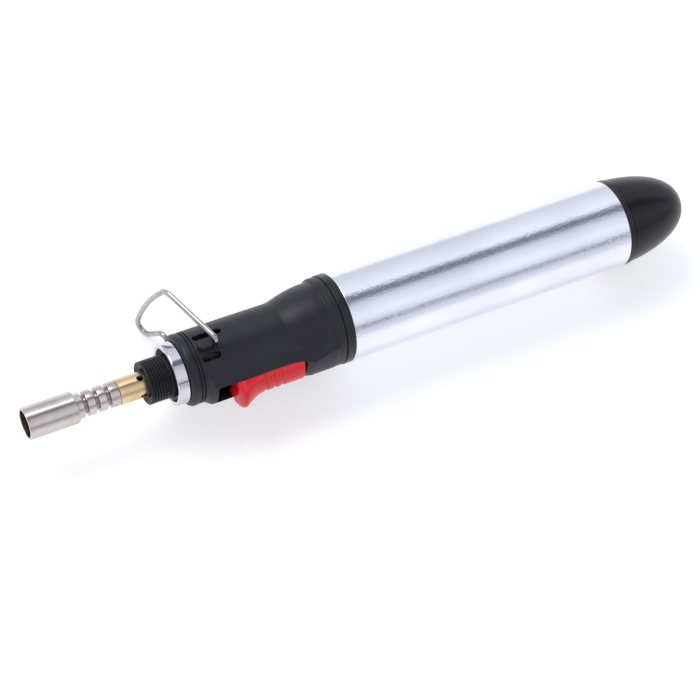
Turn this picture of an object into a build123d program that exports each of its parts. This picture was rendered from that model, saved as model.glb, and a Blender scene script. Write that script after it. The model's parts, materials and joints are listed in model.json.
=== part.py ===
from build123d import *
from math import cos, radians, sin, tan
import os

# A pen-shaped butane torch for soldering jewellery, in millimetres.
# +X runs along the tool from the nozzle mouth (the origin) to the rounded tail.
# The trigger faces -Y and the wire stand opens towards +Y. The two half shells of
# the nose meet in the plane Z = 0, and the stand swings about an axis along Z.

FIT = 0.05            # radial clearance of a running fit
SKIN = 20.0           # half size of a block that is larger than the tool's section
AHEAD = 40.0          # X ahead of every bored housing piece, for cutters
BEHIND = 220.0        # X behind the whole tool, for cutters

# Burner
NOZZLE_R = 4.40
NOZZLE_BORE_R = 3.75
CUP_END = 13.9
NECK_END = 25.6
NECK_RING_R = 3.45
NECK_GROOVE_R = 2.45
NECK_BORE_R = 1.90
NECK_RING_STARTS = (16.6, 19.8, 23.0)
NECK_GROOVE_LENGTH = 1.1
SPIGOT_R = 2.60
SPIGOT_END = 29.0
RIM_BEVEL = 0.15
CUP_ROUNDING = 0.4
DISC_FRONT = 6.5
DISC_BACK = 8.0
DISC_R = 3.35
DISC_SEAT = 0.3       # width of the step behind the flame disc
DISC_HOLES = 6
DISC_HOLE_R = 0.55
DISC_HOLE_CIRCLE_R = 2.4
DISC_CENTRE_HOLE_R = 0.6
SPARK_GAP = 0.5
CUP_TAPER = (12.0, 13.0)
TUBE_FRONT = 25.7
TUBE_R = 3.52
TUBE_BORE_R = 2.65
TUBE_END = 45.0
TUBE_FLANGE_R = 4.60
TUBE_FLANGE_END = 46.2
AIR_HOLE_R = 0.9
AIR_HOLE_X = 31.9
AIR_HOLES = 4
AIR_HOLE_TURN = -5.0  # angle of the first air hole from +Z towards -Y
ELECTRODE_Y = -1.2
ELECTRODE_R = 0.30
ELECTRODE_END = 48.9
INSULATOR_R = 0.60
INSULATOR_FRONT = 9.0
INSULATOR_END = 48.6
JET_Y = 1.2
JET_R = 0.90
JET_FRONT = 36.0
JET_BACK = 41.0
JET_BORE_R = 0.35
ORIFICE_R = 0.1
ORIFICE_END = 36.6
FILTER_BACK = 42.4
FILTER_R = 0.8
GAS_BORE_R = 0.40
HOLDER_FRONT = 38.0
HOLDER_END = 47.8
NIPPLE_R = 0.70
HOLDER_NIPPLE_END = 50.5

# Threaded collar and its clamping ring
COLLAR_FRONT = 33.0
COLLAR_R = 5.95
THREAD_ROOT_R = 5.45
THREAD_PITCH = 0.80
THREAD_START = 33.3
THREAD_END = 39.4
THREAD_FLANK = 0.25
THREAD_FLAT = 0.10
COLLAR_BORE_R = 3.95
COLLAR_FLANGE_R = 7.40
COLLAR_FLANGE_FRONT = 46.45
COLLAR_END = 48.15
RING_FRONT = 39.7
RING_BACK = 42.9
RING_R = 8.55
RING_CHAMFER = 0.45
RING_BORE_CHAMFER = 0.25

# Nose housing
SPIGOT_FRONT = 41.4
NOSE_SPIGOT_R = 7.4
LIP_FRONT = 43.1
LIP_BACK = 45.6
LIP_R = 9.93
NOSE_R = 9.88
WAIST_R = 9.80
GROOVE_R = 9.40
GROOVE_WIDTH = 0.4
SECOND_GROOVE = 46.5
LIP_ROUNDING = 1.2
BEAD_ROUNDING = 0.2
RIM_ROUNDING = 0.4
NOSE_TAPER_START = 58.0
SEAM_HALF_WIDTH = 0.07
SEAM_DEPTH = 0.25
CAVITY_FRONT = 48.2
CAVITY_R = 8.30
CAVITY_WIDENS = (74.0, 80.0)
REAR_CAVITY_R = 10.0
SHELL_INSIDE_R = 9.0  # bosses inside the shells reach this far
BOSS_FOOT = 8.5       # bosses outside the shells start at this height
FLARE_START = 72.0
FLARE_END = 82.0
FLARE_R = 11.68
RIM_FRONT = 85.1
RIM_BACK = 87.2
RIM_R = 12.40
CAVITY_END = 85.6
NECK_R = 7.90
PAD_FRONT = 47.4
PAD_FULL = 49.2
PAD_R = 11.15
PAD_REAR_R = 12.55
PAD_BASE_Y = -4.1
PAD_FLANK_TILT = 65.0   # from -Y to the direction each flank faces
PAD_FLANK_DEPTH = 9.72  # from the axis to the flank
PAD_SLOPE_TILT = 44.4
PAD_SLOPE_DEPTH = 10.47
PAD_SLOPE_REAR_DEPTH = 12.4
PAD_RIDGE_ROUNDING = 0.6
PAD_FOOT_R = 8.0
PAD_FRONT_R = 9.7
PAD_WEDGE_ENDS = (46.0, 86.0)
PAD_RISE_START = 72.0
PAD_RISE_END = 77.5
PAD_END = 84.2

# Vent slots and the stand's stop beside its pivot
PIVOT_X = 52.5
WIRE_R = 0.76
PIVOT_BORE_R = 0.84
PIVOT_RIM_R = 1.45
PIVOT_RIM_TOP = 10.15
STOP_X = 49.5
STOP_LENGTH = 4.30
STOP_WIDTH = 2.30
STOP_TOP = 12.2
STOP_ROUNDING = 0.5
VENT_FRONT = 47.5
VENT_WIDTH = 1.8
SHORT_VENT = (5.5, 18.0)   # length, and degrees from the pivot axis
LONG_VENT = (8.3, -20.5)

# Wire stand: distances along the legs, then across the tool
STAND_ANGLE = 70.0    # degrees from -X to the legs
LEG_Z = 12.7
LEG_END_Z = 7.4
LEG_END_IN = 7.0      # the pivot bosses start here, just inside the wire's ends
LOOP_CORNERS = ((19.1, 11.75), (24.9, -1.0), (26.75, -24.5), (17.3, -9.45))
LOOP_BENDS = (3.3, 72.0, 2.5, 2.0)
LEG_BEND = 1.1

# Trigger and piezo igniter
TRIGGER_FRONT = 54.8
TRIGGER_BACK = 75.1
TRIGGER_HALF_WIDTH = 4.2
TRIGGER_CORNER = 1.2   # rounding of the grip's upright edges
TRIGGER_TOP = -13.05
HUMP_END = 63.2
HUMP_LINE = (         # crest of the hump: x, y
    (TRIGGER_FRONT, -12.9), (55.4, -14.7), (56.35, -15.62), (58.0, -14.85), (60.4, -13.6),
    (HUMP_END, TRIGGER_TOP),
)
REAR_RAKE = 9.0       # degrees the grip's rear face leans forward
CROWN_R = 5.0         # rounding of the grip across its width
TRIGGER_GROOVES = (63.4, 66.0, 68.2)
TRIGGER_GROOVE_R = 1.0
TRIGGER_GROOVE_DEPTH = 0.4
SLOT_FRONT = 49.8
SLOT_BACK = 75.4
SLOT_HALF_WIDTH = 4.4
SLOT_CORNER = 0.8
CHANNEL_FLOOR = -8.9
CHANNEL_HALF_WIDTH = 5.2
CHANNEL_END = 81.9
SKID_HALF_WIDTH = 5.0
SKID_FRONT = 55.2
SKID_TOP = -8.8
SKID_UNDER = -8.0
SKID_END = 81.6
RAMP_START = 76.4
RAMP_UNDER = -7.25
TAB_FRONT = 70.55
TAB_BACK = 72.6
TAB_END_Y = -4.4
TAB_HALF_WIDTH = 1.8
PIEZO_Y = -5.4
PIEZO_FRONT = 50.6
PIEZO_BACK = 63.0
PIEZO_HALF = 2.3
PLUNGER_R = 1.5
PLUNGER_FRONT = 58.0
PLUNGER_HEAD_FRONT = 69.5
PLUNGER_HEAD_R = 2.1
SHELF_TOP = -3.0
SHELF_UNDER = -2.2

# Valve lever
LEVER_X = 72.5
LEVER_Y = -3.2
LEVER_TIP = (76.2, -7.2)
LEVER_LUG = (78.1, 0.0)
LEVER_WIDTH = 1.6
CHEEK_IN = 2.6
CHEEK_OUT = 3.4
LUG_IN = 1.3
LUG_R = 0.5
PIN_R = 0.78
PIN_HALF = 7.0
PIN_BOSS_R = 1.8
PIN_BOSS_IN = 3.8

# Screws that close the nose
SCREW_SPOTS = ((57.0, 6.6), (72.0, 6.8))
SCREW_HEAD_R = 1.5
SCREW_R = 0.8
SCREW_SEAT_Z = -5.4
SCREW_HEAD = 1.0
SCREW_TIP_Z = 2.8
SCREW_BOSS_R = 1.5

# Gas valve and flow ring
STEM_R = 1.0
STEM_HEAD_R = 2.2
STEM_FRONT = 76.5
STEM_HEAD_BACK = 77.3
VALVE_FRONT = 80.6
VALVE_FLANGE_R = 5.2
VALVE_FLANGE_BACK = 82.2
VALVE_NECK_R = 4.10
VALVE_NECK_END = 85.0
VALVE_R = 3.4
VALVE_END = 97.5
CHAMBER_FRONT = 88.0
CHAMBER_END = 94.55
CHAMBER_R = 2.2
STEM_FLANGE_FRONT = 92.2
STEM_FLANGE_BACK = 93.2
SEAL_BACK = 94.5
STEM_FLANGE_R = 2.0
SEAL_R = 1.7
OUTLET_Y = 3.6
OUTLET_FRONT = 78.0
GAS_TUBE_R = 1.25
GAS_TUBE_STEP = (55.0, 61.0)   # where the tube crosses from the jet's line to the outlet's
GAS_TUBE_BEND = 6.0
OUTLET_BORE_FRONT = 77.0
OUTLET_BORE_END = 84.5
CROSS_PORT_FRONT = 83.8
PORT_R = 0.4
FLOW_RING_FRONT = 82.4
FLOW_RING_BACK = 84.8
FLOW_RING_R = 9.4
FLOW_TAB_R = 12.1
FLOW_TAB_HALF = 1.1
FLOW_WINDOW_HALF = 1.5
FLOW_SWING = 25.0

# Tank and barrel
BARREL_R = 12.5
BARREL_FRONT = 89.75
BARREL_BACK = 176.44
SLEEVE_WALL = 0.5
BAND_FRONT = 87.3
BAND_R = 12.6
TANK_R = 11.95
TANK_BORE_R = 10.6
TANK_BACK = 176.3
PLUG_R = 10.55
HEAD_PLUG_END = 97.0
TAIL_PLUG_FRONT = 166.0
O_RING_R = 10.11
O_RING_SECTION = 0.47
O_GROOVE_R = 9.62
O_GROOVE_HALF = 0.65
HEAD_O_RING_X = 93.0
TAIL_O_RING_X = 171.5
WICK_R = 2.0
WICK_END = 150.0

# Tail, refill valve and cap
TAIL_FLANGE_FRONT = 176.5
TAIL_FLANGE_BACK = 178.2
TAIL_R = 12.45
SEAT_R = 10.2
SEAT_END = 184.0
FILL_R = 3.0
FILL_FRONT = 166.5
FILL_BODY_END = 184.6
FILL_NIPPLE_R = 1.75
FILL_NIPPLE_END = 187.5
FILL_STEM_R = 0.7
FILL_STEM_END = 189.1
FILL_HOLE_R = 0.9
FILL_CHAMBER = (170.5, 179.0)
FILL_CHAMBER_R = 2.0
FILL_FLANGE = (176.5, 177.5)
FILL_FLANGE_R = 1.75
FILL_STEM_FRONT = 172.0
CAP_FRONT = 178.3
CAP_CENTRE = 176.5
CAP_LENGTH = 23.0
CAP_R = 12.25
CAP_WALL = 1.8
CAP_POWERS = (1.8, 2.5)  # of the length and the radius in the cap's rounded form


def lathe(points):
    """Turn a closed outline of (x, radius) points about the tool's axis."""
    return revolve(make_face(Polyline(*points, close=True)), Axis.X)


def tube(start, end, outer, inner=0.0):
    """A plain tube, or a rod when inner is zero, on the tool's axis."""
    return lathe([(start, inner), (end, inner), (end, outer), (start, outer)])


def rod_x(start, end, radius, y=0.0, z=0.0):
    """A round rod along X at a given offset from the axis."""
    return Pos((start + end) / 2, y, z) * Rot(0, 90, 0) * Cylinder(radius, end - start)


def rod_z(start, end, radius, x, y):
    """A round rod along Z."""
    return Pos(x, y, (start + end) / 2) * Cylinder(radius, abs(end - start))


def block(x0, x1, y0, y1, z0, z1):
    """A box from its lowest to its highest corner."""
    return Pos((x0 + x1) / 2, (y0 + y1) / 2, (z0 + z1) / 2) * Box(x1 - x0, y1 - y0, z1 - z0)


def plate(start, end, width, z0, z1):
    """A flat link with round ends between two (x, y) points."""
    line = Vector(*end) - Vector(*start)
    middle = (Vector(*start) + Vector(*end)) / 2
    turn = Vector(1, 0).get_signed_angle(line, Vector(0, 0, 1))
    outline = SlotCenterToCenter(line.length, width)
    return Pos(middle.X, middle.Y, z0) * Rot(0, 0, turn) * extrude(outline, z1 - z0)


def coil(start, end, radius, wire_r, turns, y=0.0):
    """An open helical spring along X."""
    pitch = (end - start - 2 * wire_r) / turns
    path = Helix(pitch, pitch * turns, radius, center=(start + wire_r, y, 0), direction=(1, 0, 0))
    section = Plane(origin=path @ 0, z_dir=path % 0) * Circle(wire_r)
    return sweep(section, path, is_frenet=True)


# ---------------------------------------------------------------- burner

def burner_nozzle():
    """Stainless cup, ringed neck and the spigot that enters the brass tube."""
    outline = [(0, NOZZLE_BORE_R), (DISC_FRONT, NOZZLE_BORE_R), (DISC_FRONT, DISC_R)]
    outline += [(DISC_BACK, DISC_R), (DISC_BACK, DISC_R - DISC_SEAT)]
    outline += [(CUP_TAPER[0], DISC_R - DISC_SEAT), (CUP_TAPER[1], NECK_BORE_R)]
    outline += [(SPIGOT_END, NECK_BORE_R), (SPIGOT_END, SPIGOT_R)]
    outline += [(NECK_END, SPIGOT_R), (NECK_END, NECK_RING_R)]
    for start in reversed(NECK_RING_STARTS):
        outline += [(start, NECK_RING_R), (start, NECK_GROOVE_R)]
        outline += [(start - NECK_GROOVE_LENGTH, NECK_GROOVE_R)]
        outline += [(start - NECK_GROOVE_LENGTH, NECK_RING_R)]
    outline += [(CUP_END, NECK_RING_R), (CUP_END, NOZZLE_R - CUP_ROUNDING)]
    outline += [(CUP_END - CUP_ROUNDING, NOZZLE_R), (RIM_BEVEL, NOZZLE_R)]
    outline += [(0, NOZZLE_R - RIM_BEVEL)]
    return lathe(outline)


def flame_disc():
    """Perforated disc that holds the flame, with a clear hole for the electrode."""
    disc = tube(DISC_FRONT, DISC_BACK, DISC_R)
    for index in range(DISC_HOLES):
        angle = radians(360 * index / DISC_HOLES)
        y, z = DISC_HOLE_CIRCLE_R * cos(angle), DISC_HOLE_CIRCLE_R * sin(angle)
        disc -= rod_x(DISC_FRONT, DISC_BACK, DISC_HOLE_R, y, z)
    disc -= rod_x(DISC_FRONT, DISC_BACK, ELECTRODE_R + SPARK_GAP, ELECTRODE_Y)
    return disc - rod_x(DISC_FRONT, DISC_BACK, DISC_CENTRE_HOLE_R, SPARK_GAP + ELECTRODE_R)


def electrode_rod():
    """Ignition electrode, level with the front of the flame disc."""
    return rod_x(DISC_FRONT, ELECTRODE_END, ELECTRODE_R, ELECTRODE_Y)


def electrode_insulator():
    """Ceramic sleeve around the ignition electrode."""
    sleeve = rod_x(INSULATOR_FRONT, INSULATOR_END, INSULATOR_R, ELECTRODE_Y)
    return sleeve - rod_x(INSULATOR_FRONT, INSULATOR_END, ELECTRODE_R, ELECTRODE_Y)


def mixing_tube():
    """Brass tube that draws in air through its side holes and mixes it with the gas."""
    body = lathe([
        (TUBE_FRONT, TUBE_BORE_R), (TUBE_FLANGE_END, TUBE_BORE_R),
        (TUBE_FLANGE_END, TUBE_FLANGE_R), (TUBE_END, TUBE_FLANGE_R), (TUBE_END, TUBE_R),
        (TUBE_FRONT + RIM_BEVEL, TUBE_R), (TUBE_FRONT, TUBE_R - RIM_BEVEL),
    ])
    for index in range(AIR_HOLES):
        turn = AIR_HOLE_TURN + 360 * index / AIR_HOLES
        hole = rod_z(TUBE_BORE_R - 1, TUBE_R + 1, AIR_HOLE_R, AIR_HOLE_X, 0)
        body -= hole.rotate(Axis.X, turn)
    return body


def jet_holder():
    """Brass plug that carries the jet, the electrode and the nipple of the gas tube."""
    plug = tube(HOLDER_FRONT, TUBE_FLANGE_END, TUBE_BORE_R)
    plug += tube(TUBE_FLANGE_END, HOLDER_END, TUBE_FLANGE_R)
    plug += rod_x(HOLDER_END, HOLDER_NIPPLE_END, NIPPLE_R, JET_Y)
    plug -= rod_x(HOLDER_FRONT, HOLDER_NIPPLE_END, GAS_BORE_R, JET_Y)
    plug -= rod_x(HOLDER_FRONT, JET_BACK, JET_R, JET_Y)
    plug -= rod_x(JET_BACK, FILTER_BACK, FILTER_R, JET_Y)
    return plug - rod_x(HOLDER_FRONT, HOLDER_END, INSULATOR_R, ELECTRODE_Y)


def gas_jet():
    """Jet with a fine orifice, set in the holder's front."""
    jet = rod_x(JET_FRONT, JET_BACK, JET_R, JET_Y)
    jet -= rod_x(ORIFICE_END, JET_BACK, JET_BORE_R, JET_Y)
    return jet - rod_x(JET_FRONT, ORIFICE_END, ORIFICE_R, JET_Y)


def jet_filter():
    """Sintered disc behind the jet."""
    return rod_x(JET_BACK, FILTER_BACK, FILTER_R, JET_Y)


# ---------------------------------------------------------------- collar and ring

def threaded_collar():
    """Threaded nose collar, shown with ring grooves at the thread's pitch."""
    outline = [(COLLAR_FRONT, COLLAR_BORE_R), (TUBE_END, COLLAR_BORE_R)]
    outline += [(TUBE_END, TUBE_FLANGE_R + FIT), (COLLAR_END, TUBE_FLANGE_R + FIT)]
    outline += [(COLLAR_END, COLLAR_FLANGE_R), (COLLAR_FLANGE_FRONT, COLLAR_FLANGE_R)]
    outline += [(COLLAR_FLANGE_FRONT, COLLAR_R), (THREAD_END, COLLAR_R)]
    turns = int((THREAD_END - THREAD_START) / THREAD_PITCH)
    for index in reversed(range(turns)):
        start = THREAD_START + index * THREAD_PITCH
        outline += [(start + 2 * THREAD_FLANK + THREAD_FLAT, COLLAR_R)]
        outline += [(start + THREAD_FLANK + THREAD_FLAT, THREAD_ROOT_R)]
        outline += [(start + THREAD_FLANK, THREAD_ROOT_R), (start, COLLAR_R)]
    outline += [(COLLAR_FRONT + RIM_BEVEL, COLLAR_R), (COLLAR_FRONT, COLLAR_R - RIM_BEVEL)]
    return lathe(outline)


def retaining_ring():
    """Chromed ring that clamps the nose spigots of both half shells."""
    return lathe([
        (RING_FRONT, NOSE_SPIGOT_R + RING_BORE_CHAMFER),
        (RING_FRONT + RING_BORE_CHAMFER, NOSE_SPIGOT_R), (RING_BACK, NOSE_SPIGOT_R),
        (RING_BACK, RING_R), (RING_FRONT + RING_CHAMFER, RING_R),
        (RING_FRONT, RING_R - RING_CHAMFER),
    ])


# ---------------------------------------------------------------- nose housing

def housing_outside():
    """Outer form of the two closed half shells."""
    corners = (
        (SPIGOT_FRONT, 5, 0), (SPIGOT_FRONT, NOSE_SPIGOT_R, 0), (LIP_FRONT, NOSE_SPIGOT_R, 0),
        (LIP_FRONT, LIP_R, LIP_ROUNDING), (LIP_BACK, LIP_R, GROOVE_WIDTH),
        (LIP_BACK, GROOVE_R, 0), (LIP_BACK + GROOVE_WIDTH, GROOVE_R, 0),
        (LIP_BACK + GROOVE_WIDTH, NOSE_R, BEAD_ROUNDING), (SECOND_GROOVE, NOSE_R, BEAD_ROUNDING),
        (SECOND_GROOVE, GROOVE_R, 0), (SECOND_GROOVE + GROOVE_WIDTH, GROOVE_R, 0),
        (SECOND_GROOVE + GROOVE_WIDTH, NOSE_R, BEAD_ROUNDING), (NOSE_TAPER_START, NOSE_R, 0),
        (FLARE_START, WAIST_R, 0),
    )
    front = FilletPolyline(
        *[(x, radius) for x, radius, bend in corners],
        radius=[bend for x, radius, bend in corners[1:-1]])
    flare = Bezier(
        (FLARE_START, WAIST_R), (FLARE_START + 1.6, WAIST_R + 0.1),
        (FLARE_END - 6, FLARE_R - 0.48), (FLARE_END, FLARE_R),
    )
    rear = FilletPolyline(
        (FLARE_END, FLARE_R), (RIM_FRONT - 0.7, FLARE_R), (RIM_FRONT, RIM_R),
        (RIM_BACK, RIM_R), (RIM_BACK, 5), (SPIGOT_FRONT, 5),
        radius=[RIM_ROUNDING, RIM_ROUNDING, BEAD_ROUNDING, 0])
    return revolve(make_face([*front.edges(), *flare.edges(), *rear.edges()]), Axis.X)


def pad_wedge(tilt, ends):
    """Wedge along X with two flanks tilted from -Y; ends are (x, depth of the flanks)."""
    lean = radians(tilt)
    faces = []
    for x, depth in ends:
        base = (depth + PAD_BASE_Y * cos(lean)) / sin(lean)
        outline = Polyline(
            (PAD_BASE_Y, -base), (PAD_BASE_Y, base), (-depth / cos(lean), 0), close=True)
        faces.append(Plane((x, 0, 0), x_dir=(0, 1, 0), z_dir=(1, 0, 0)) * make_face(outline))
    return loft(faces, ruled=True)


def trigger_pad():
    """Raised pad around the trigger slot, on the -Y side."""
    pad = lathe([
        (PAD_FRONT, PAD_FOOT_R), (PAD_FRONT, PAD_FRONT_R), (PAD_FULL, PAD_R),
        (PAD_RISE_START, PAD_R), (PAD_RISE_END, PAD_REAR_R), (PAD_END, PAD_REAR_R),
        (RIM_FRONT, RIM_R), (RIM_FRONT, PAD_FOOT_R),
    ])
    first, last = PAD_WEDGE_ENDS
    pad &= pad_wedge(PAD_FLANK_TILT, ((first, PAD_FLANK_DEPTH), (last, PAD_FLANK_DEPTH)))
    slopes = pad_wedge(
        PAD_SLOPE_TILT, ((first, PAD_SLOPE_DEPTH), (PAD_RISE_START, PAD_SLOPE_DEPTH)))
    slopes += pad_wedge(
        PAD_SLOPE_TILT, ((PAD_RISE_START, PAD_SLOPE_DEPTH), (last, PAD_SLOPE_REAR_DEPTH)))
    pad &= slopes
    ridges = []
    for edge in pad.edges():
        box = edge.bounding_box()
        middle = edge @ 0.5
        if box.size.X > 3 and PAD_FRONT < middle.X < 80 and 6.0 < abs(middle.Z) < 7.6:
            ridges.append(edge)
    return fillet(ridges, PAD_RIDGE_ROUNDING)


def housing_cavity():
    """The hollow inside the shells: collar seat, main cavity, rear bore."""
    return lathe([
        (AHEAD, 0), (AHEAD, COLLAR_R + FIT), (COLLAR_FLANGE_FRONT - FIT, COLLAR_R + FIT),
        (COLLAR_FLANGE_FRONT - FIT, COLLAR_FLANGE_R + FIT), (CAVITY_FRONT, COLLAR_FLANGE_R + FIT),
        (CAVITY_FRONT, CAVITY_R), (CAVITY_WIDENS[0], CAVITY_R), (CAVITY_WIDENS[1], REAR_CAVITY_R),
        (CAVITY_END, REAR_CAVITY_R), (CAVITY_END, NECK_R + FIT), (BEHIND, NECK_R + FIT),
        (BEHIND, 0),
    ])


def trigger_slot():
    """Slot through the pad, and the wider channel for the trigger's skid."""
    slot = block(SLOT_FRONT, SLOT_BACK, -SKIN, CHANNEL_FLOOR, -SLOT_HALF_WIDTH, SLOT_HALF_WIDTH)
    slot = fillet(slot.edges().filter_by(Axis.Y), SLOT_CORNER)
    return slot + block(
        SLOT_FRONT, CHANNEL_END, CHANNEL_FLOOR, -5, -CHANNEL_HALF_WIDTH, CHANNEL_HALF_WIDTH)


def seam_groove():
    """Fine groove along the parting line, on the back and behind the trigger."""
    seam = block(LIP_FRONT, RIM_FRONT, 0, SKIN, -SEAM_HALF_WIDTH, SEAM_HALF_WIDTH)
    seam -= lathe([
        (SPIGOT_FRONT, 0), (RIM_BACK, 0), (RIM_BACK, FLARE_R - SEAM_DEPTH),
        (FLARE_END, FLARE_R - SEAM_DEPTH), (FLARE_START, WAIST_R - SEAM_DEPTH),
        (SPIGOT_FRONT, WAIST_R - SEAM_DEPTH),
    ])
    pad_depth = PAD_REAR_R - SEAM_DEPTH
    return seam + block(
        SLOT_BACK, RIM_FRONT, -SKIN, -pad_depth, -SEAM_HALF_WIDTH, SEAM_HALF_WIDTH)


def vent_slot(length, tilt):
    """Cutter for one rounded vent slot, tilted about the tool's axis."""
    outline = SlotOverall(length, VENT_WIDTH)
    cutter = Pos(VENT_FRONT + length / 2, 0, 7) * extrude(outline, 5)
    return cutter.rotate(Axis.X, tilt)


def half_shell(side):
    """One half of the nose housing; side is +1 for the upper half, -1 for the lower."""
    body = housing_outside() + trigger_pad()
    stop = extrude(SlotOverall(STOP_LENGTH, STOP_WIDTH), STOP_TOP - BOSS_FOOT)
    stop = Pos(STOP_X, 0, BOSS_FOOT) * stop
    stop = fillet(stop.faces().sort_by(Axis.Z)[-1].edges(), STOP_ROUNDING)
    outside = stop + rod_z(BOSS_FOOT, PIVOT_RIM_TOP, PIVOT_RIM_R, PIVOT_X, 0)
    if side < 0:
        outside = outside.mirror(Plane.XY)
    body += outside
    body -= housing_cavity()
    inside = rod_z(side * PIN_BOSS_IN, side * SHELL_INSIDE_R, PIN_BOSS_R, LEVER_X, LEVER_Y)
    inside += rod_z(side * LEG_END_IN, side * SHELL_INSIDE_R, PIVOT_RIM_R, PIVOT_X, 0)
    inside += block(
        PIEZO_FRONT, PIEZO_BACK, SHELF_TOP, SHELF_UNDER, *sorted((0, side * SHELL_INSIDE_R)))
    for x, y in SCREW_SPOTS:
        inside += rod_z(0, side * SHELL_INSIDE_R, SCREW_BOSS_R, x, y)
    inside &= tube(CAVITY_FRONT, CAVITY_WIDENS[0] + 1, CAVITY_R + 0.2)
    body += inside
    body -= trigger_slot() + seam_groove()
    body -= rod_z(-PIN_HALF, PIN_HALF, PIN_R, LEVER_X, LEVER_Y)
    body -= rod_z(-SKIN, SKIN, PIVOT_BORE_R, PIVOT_X, 0)
    for length, tilt in (SHORT_VENT, LONG_VENT):
        slot = vent_slot(length, tilt)
        body -= slot if side > 0 else slot.mirror(Plane.XY)
    if side > 0:
        for x, y in SCREW_SPOTS:
            body -= rod_z(0, SCREW_TIP_Z + 0.3, SCREW_R, x, y)
        return body & block(AHEAD, BEHIND, -SKIN, SKIN, 0, SKIN)
    for x, y in SCREW_SPOTS:
        body -= rod_z(SCREW_SEAT_Z, 0, SCREW_R + FIT, x, y)
        body -= rod_z(-SKIN, SCREW_SEAT_Z, SCREW_HEAD_R + 0.1, x, y)
    for turn in range(-1, 2):
        window = block(FLOW_RING_FRONT + 0.1, FLOW_RING_BACK - 0.1, -FLOW_WINDOW_HALF,
                       FLOW_WINDOW_HALF, -SKIN, -SHELL_INSIDE_R)
        body -= window.rotate(Axis.X, turn * FLOW_SWING)
        body -= window.rotate(Axis.X, turn * FLOW_SWING / 2)
    return body & block(AHEAD, BEHIND, -SKIN, SKIN, -SKIN, 0)


def housing_screws():
    """Two pan-head screws that close the shells, from the lower side."""
    screws = []
    for x, y in SCREW_SPOTS:
        screw = rod_z(SCREW_SEAT_Z - SCREW_HEAD, SCREW_SEAT_Z, SCREW_HEAD_R, x, y)
        screw += rod_z(SCREW_SEAT_Z, SCREW_TIP_Z, SCREW_R, x, y)
        for turn in (0, 90):
            top = SCREW_SEAT_Z - SCREW_HEAD
            screw -= Pos(x, y, top) * Rot(0, 0, turn) * Box(1.8, 0.35, 0.9)
        screws.append(screw)
    return Compound(screws)


# ---------------------------------------------------------------- trigger and igniter

def trigger_plan():
    """Upright block of the grip, with rounded front corners and a leaning rear face."""
    lean = (SKIN + SKID_TOP) * tan(radians(REAR_RAKE))
    plan = extrude(make_face(Polyline(
        (TRIGGER_FRONT, SKID_TOP), (TRIGGER_BACK, SKID_TOP), (TRIGGER_BACK - lean, -SKIN),
        (TRIGGER_FRONT, -SKIN), close=True)), TRIGGER_HALF_WIDTH, both=True)
    return fillet(plan.edges().filter_by(Axis.Y).group_by(Axis.X)[0], TRIGGER_CORNER)


def trigger():
    """Sliding trigger: hump, grooved rear, skid below the slot, tab and valve ramp."""
    sections = []
    for x, top in HUMP_LINE:
        plane = Plane((x, 0, 0), x_dir=(0, 1, 0), z_dir=(1, 0, 0))
        sections.append(plane * Pos(top + CROWN_R, 0) * Circle(CROWN_R))
    grip = trigger_plan() & loft(sections)
    grip += trigger_plan() & rod_x(HUMP_END, TRIGGER_BACK, CROWN_R, TRIGGER_TOP + CROWN_R)
    for x in TRIGGER_GROOVES:
        ring_r = CROWN_R + TRIGGER_GROOVE_R - TRIGGER_GROOVE_DEPTH
        groove = Rot(0, 90, 0) * Torus(ring_r, TRIGGER_GROOVE_R)
        grip -= Pos(x, TRIGGER_TOP + CROWN_R, 0) * groove
    skid = extrude(make_face(Polyline(
        (SKID_FRONT, SKID_TOP), (SKID_END, SKID_TOP), (SKID_END, RAMP_UNDER),
        (RAMP_START, SKID_UNDER), (SKID_FRONT, SKID_UNDER), close=True)), SKID_HALF_WIDTH, both=True)
    tab = block(TAB_FRONT, TAB_BACK, SKID_UNDER, TAB_END_Y, -TAB_HALF_WIDTH, TAB_HALF_WIDTH)
    return grip + skid + tab


def piezo_body():
    """Moulded piezo igniter, with the bore of its plunger open to the rear."""
    body = block(PIEZO_FRONT, PIEZO_BACK, -7.7, SHELF_TOP, -PIEZO_HALF, PIEZO_HALF)
    body = fillet(body.edges().filter_by(Axis.X), 0.5)
    return body - rod_x(52.6, PIEZO_BACK + 1, PLUNGER_R + 0.1, PIEZO_Y)


def piezo_plunger():
    plunger = rod_x(PLUNGER_FRONT, PLUNGER_HEAD_FRONT, PLUNGER_R, PIEZO_Y)
    return plunger + rod_x(PLUNGER_HEAD_FRONT, TAB_FRONT - 0.05, PLUNGER_HEAD_R, PIEZO_Y)


def piezo_spring():
    return coil(PIEZO_BACK, PLUNGER_HEAD_FRONT, 1.85, 0.16, 4, PIEZO_Y)


def ignition_lead():
    """Insulated lead from the electrode to the igniter."""
    path = FilletPolyline(
        (48.9, ELECTRODE_Y, 0), (49.7, ELECTRODE_Y, 0), (49.7, PIEZO_Y, 0),
        (PIEZO_FRONT, PIEZO_Y, 0), radius=0.5)
    return sweep(Plane(origin=path @ 0, z_dir=path % 0) * Circle(0.4), path)


def valve_lever():
    """Two cheeks joined by the tip bar, with lugs that lift the valve stem."""
    lever = rod_z(-CHEEK_OUT, CHEEK_OUT, LUG_R, *LEVER_TIP)
    for side in (-1, 1):
        low, high = sorted((side * CHEEK_IN, side * CHEEK_OUT))
        hub = (LEVER_X, LEVER_Y)
        lever += plate(hub, LEVER_TIP, 2 * LUG_R, low, high)
        lever += plate(hub, LEVER_LUG, 2 * LUG_R, low, high)
        lever += rod_z(low, high, LEVER_WIDTH - 0.1, *hub)
        lever += rod_z(*sorted((side * LUG_IN, side * CHEEK_OUT)), LUG_R, *LEVER_LUG)
    return lever - rod_z(-5, 5, PIN_R + FIT, LEVER_X, LEVER_Y)


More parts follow.
